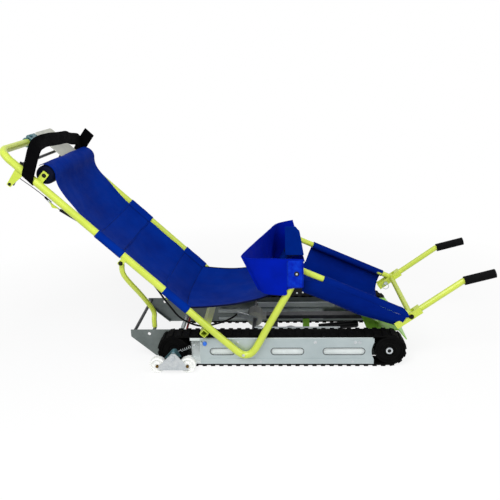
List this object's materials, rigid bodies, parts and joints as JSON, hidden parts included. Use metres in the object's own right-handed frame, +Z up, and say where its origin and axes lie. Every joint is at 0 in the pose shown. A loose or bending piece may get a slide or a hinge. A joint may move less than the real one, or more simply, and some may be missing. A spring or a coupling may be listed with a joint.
{
  "type": "evacuation chair",
  "caption": "Tracked evacuation chair: lugged belts on slotted side plates carry a folding tube frame with sling seat, lap belt, head strap, brake bar and foot handles.",
  "frame": {"origin": "middle of the footprint of the bounding box, on the floor", "axes": "+X towards the passenger's feet, along the tracks; +Y towards the passenger's left; +Z up"},
  "size_m": [1.6262, 0.549, 0.8082],
  "materials": {
    "lime_paint": "glossy powder coat",
    "blue_fabric": "coated woven nylon",
    "black_webbing": "heavy woven webbing",
    "belt_rubber": "matt moulded rubber",
    "black_plastic": "matt black",
    "grip_foam": "matt foam rubber",
    "silver_plate": "brushed",
    "white_nylon": "natural nylon",
    "dark_steel": "dark zinc",
    "grey_plastic": "plain",
    "zinc_steel": "zinc plated"
  },
  "bodies": {
    "chassis": {"track_belt_right": "belt_rubber", "track_belt_left": "belt_rubber", "outer_plate_right": "silver_plate", "outer_plate_left": "silver_plate", "inner_plate_right": "silver_plate", "inner_plate_left": "silver_plate", "slide_rail_right": "silver_plate", "slide_rail_left": "silver_plate", "tail_rod": "dark_steel", "rear_axle": "zinc_steel", "brake_shaft": "dark_steel", "brake_housing": "grey_plastic", "spine": "dark_steel", "strut_bracket": "lime_paint", "tension_strut": "black_plastic", "front_bracket": "lime_paint", "caster_spring_right": "zinc_steel", "caster_spring_left": "zinc_steel"},
    "front_drums": {"front_axle": "zinc_steel", "front_drum_right": "black_plastic", "front_drum_left": "black_plastic"},
    "rear_drum_right": {"rear_drum_right": "black_plastic"},
    "rear_drum_left": {"rear_drum_left": "black_plastic"},
    "caster_right": {"caster_carriage_right": "zinc_steel"},
    "caster_wheel_right_rear": {"caster_wheel_right_rear": "white_nylon"},
    "caster_wheel_right_front": {"caster_wheel_right_front": "white_nylon"},
    "caster_left": {"caster_carriage_left": "zinc_steel"},
    "caster_wheel_left_rear": {"caster_wheel_left_rear": "white_nylon"},
    "caster_wheel_left_front": {"caster_wheel_left_front": "white_nylon"},
    "centre_bogie": {"centre_bogie": "zinc_steel"},
    "centre_wheel_rear": {"centre_wheel_rear": "white_nylon"},
    "centre_wheel_front": {"centre_wheel_front": "white_nylon"},
    "seat_frame": {"push_bar": "lime_paint", "back_tube_right": "lime_paint", "back_tube_left": "lime_paint", "thigh_tube_right": "lime_paint", "thigh_tube_left": "lime_paint", "knee_plate_right": "black_plastic", "knee_plate_left": "black_plastic", "cross_tube": "lime_paint", "back_sling": "blue_fabric", "seat_sling": "blue_fabric", "head_bolster": "blue_fabric", "head_strap": "black_webbing", "thigh_belt": "blue_fabric", "head_plate": "grey_plastic", "brake_cable": "black_plastic"},
    "leg_frame": {"leg_tube_right": "lime_paint", "leg_tube_left": "lime_paint", "foot_crossbar": "lime_paint", "leg_sling": "blue_fabric"},
    "prop_right": {"prop_right": "lime_paint"},
    "prop_left": {"prop_left": "lime_paint"},
    "brake_bar": {"brake_bar": "dark_steel"},
    "brake_arm": {"brake_arm": "zinc_steel"},
    "handle_right": {"foot_handle_right": "lime_paint", "grip_right": "grip_foam"},
    "handle_left": {"foot_handle_left": "lime_paint", "grip_left": "grip_foam"},
    "lock_pin": {"lock_pin_left": "zinc_steel"}
  },
  "joints": [
    {"name": "front_drum_spin", "type": "hinge", "parent": "chassis", "child": "front_drums", "pos_m": [0.46634, 0, 0.06], "axis": [0, 1, 0], "continuous": true},
    {"name": "rear_drum_right_spin", "type": "hinge", "parent": "chassis", "child": "rear_drum_right", "pos_m": [-0.28466, -0.1845, 0.06], "axis": [0, 1, 0], "continuous": true},
    {"name": "rear_drum_left_spin", "type": "hinge", "parent": "chassis", "child": "rear_drum_left", "pos_m": [-0.28466, 0.1845, 0.06], "axis": [0, 1, 0], "continuous": true},
    {"name": "caster_right_rock", "type": "hinge", "parent": "chassis", "child": "caster_right", "pos_m": [-0.28466, 0, 0.06], "axis": [0, 1, 0], "range_deg": [-15, 15], "stiffness_Nm_per_rad": 1, "deforming": ["caster_spring_right"]},
    {"name": "caster_wheel_right_rear_roll", "type": "hinge", "parent": "caster_right", "child": "caster_wheel_right_rear", "pos_m": [-0.33766, -0.2535, 0.0285], "axis": [0, 1, 0], "continuous": true},
    {"name": "caster_wheel_right_front_roll", "type": "hinge", "parent": "caster_right", "child": "caster_wheel_right_front", "pos_m": [-0.23166, -0.2535, 0.0285], "axis": [0, 1, 0], "continuous": true},
    {"name": "caster_left_rock", "type": "hinge", "parent": "chassis", "child": "caster_left", "pos_m": [-0.28466, 0, 0.06], "axis": [0, 1, 0], "range_deg": [-15, 15], "stiffness_Nm_per_rad": 1, "deforming": ["caster_spring_left"]},
    {"name": "caster_wheel_left_rear_roll", "type": "hinge", "parent": "caster_left", "child": "caster_wheel_left_rear", "pos_m": [-0.33766, 0.2535, 0.0285], "axis": [0, 1, 0], "continuous": true},
    {"name": "caster_wheel_left_front_roll", "type": "hinge", "parent": "caster_left", "child": "caster_wheel_left_front", "pos_m": [-0.23166, 0.2535, 0.0285], "axis": [0, 1, 0], "continuous": true},
    {"name": "centre_bogie_rock", "type": "hinge", "parent": "chassis", "child": "centre_bogie", "pos_m": [0.06734, 0, 0.036], "axis": [0, 1, 0], "range_deg": [-8, 8]},
    {"name": "centre_wheel_rear_roll", "type": "hinge", "parent": "centre_bogie", "child": "centre_wheel_rear", "pos_m": [0.00634, 0, 0.0285], "axis": [0, 1, 0], "continuous": true},
    {"name": "centre_wheel_front_roll", "type": "hinge", "parent": "centre_bogie", "child": "centre_wheel_front", "pos_m": [0.12834, 0, 0.0285], "axis": [0, 1, 0], "continuous": true},
    {"name": "seat_fold", "type": "hinge", "parent": "chassis", "child": "seat_frame", "pos_m": [-0.03966, 0, 0.046], "axis": [0, 1, 0], "range_deg": [0, 30], "deforming": ["brake_cable"]},
    {"name": "leg_fold", "type": "hinge", "parent": "seat_frame", "child": "leg_frame", "pos_m": [0.14634, 0, 0.357], "axis": [0, 1, 0], "range_deg": [-54, 0]},
    {"name": "prop_right_swing", "type": "hinge", "parent": "seat_frame", "child": "prop_right", "pos_m": [-0.438, 0, 0.39779], "axis": [0, 1, 0], "range_deg": [-15, 0]},
    {"name": "prop_left_swing", "type": "hinge", "parent": "seat_frame", "child": "prop_left", "pos_m": [-0.438, 0, 0.39779], "axis": [0, 1, 0], "range_deg": [-15, 0]},
    {"name": "brake_bar_squeeze", "type": "hinge", "parent": "seat_frame", "child": "brake_bar", "pos_m": [-0.78117, 0, 0.66842], "axis": [0, 1, 0], "range_deg": [-20, 0]},
    {"name": "brake_arm_pull", "type": "hinge", "parent": "chassis", "child": "brake_arm", "pos_m": [-0.00666, 0, 0.1], "axis": [0, 1, 0], "range_deg": [0, 20]},
    {"name": "handle_right_fold", "type": "hinge", "parent": "leg_frame", "child": "handle_right", "pos_m": [0.53734, 0, 0.18292], "axis": [0, 1, 0], "range_deg": [-55, 0]},
    {"name": "handle_left_fold", "type": "hinge", "parent": "leg_frame", "child": "handle_left", "pos_m": [0.53734, 0, 0.18292], "axis": [0, 1, 0], "range_deg": [-55, 0]},
    {"name": "lock_pin_pull", "type": "slide", "parent": "handle_left", "child": "lock_pin", "axis": [0, -1, 0], "range_m": [0, 0.008], "stiffness_N_per_m": 100}
  ],
  "couplings": [
    {"joint": "rear_drum_right_spin", "follows": "front_drum_spin", "ratio": 1},
    {"joint": "rear_drum_left_spin", "follows": "front_drum_spin", "ratio": 1},
    {"joint": "leg_fold", "follows": "seat_fold", "ratio": -1.8},
    {"joint": "prop_right_swing", "follows": "seat_fold", "ratio": -0.5},
    {"joint": "prop_left_swing", "follows": "seat_fold", "ratio": -0.5},
    {"joint": "brake_arm_pull", "follows": "brake_bar_squeeze", "ratio": -1}
  ]
}
